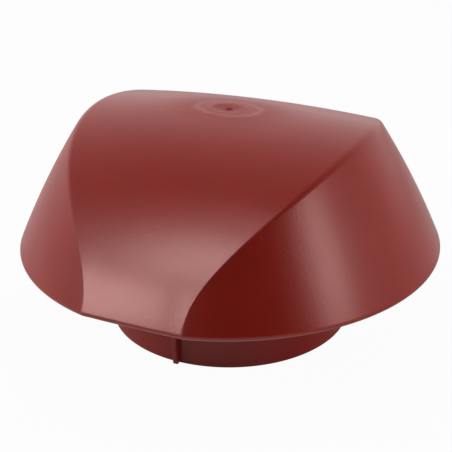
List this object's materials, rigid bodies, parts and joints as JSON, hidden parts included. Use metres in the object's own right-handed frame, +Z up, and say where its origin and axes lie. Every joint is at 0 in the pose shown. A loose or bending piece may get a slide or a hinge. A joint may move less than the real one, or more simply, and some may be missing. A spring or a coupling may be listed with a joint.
{
  "type": "ventilation cap",
  "caption": "Rain cap for a vent pipe: a round vaulted hood with a flared rim, held on webs over a collar that slips onto the pipe end.",
  "frame": {"origin": "middle of the collar's lower edge, where the cap meets the roof or stands on a bench", "axes": "+Z up along the pipe, +X along the hood's ridge, the vault's two curved fronts face -Y and +Y"},
  "size_m": [0.1994, 0.1948, 0.1027],
  "materials": {
    "hood_plastic": "satin, as moulded, oxide red",
    "collar_plastic": "satin, as moulded, oxide red"
  },
  "bodies": {
    "root": {"hood": "hood_plastic", "collar": "collar_plastic"}
  },
  "joints": []
}
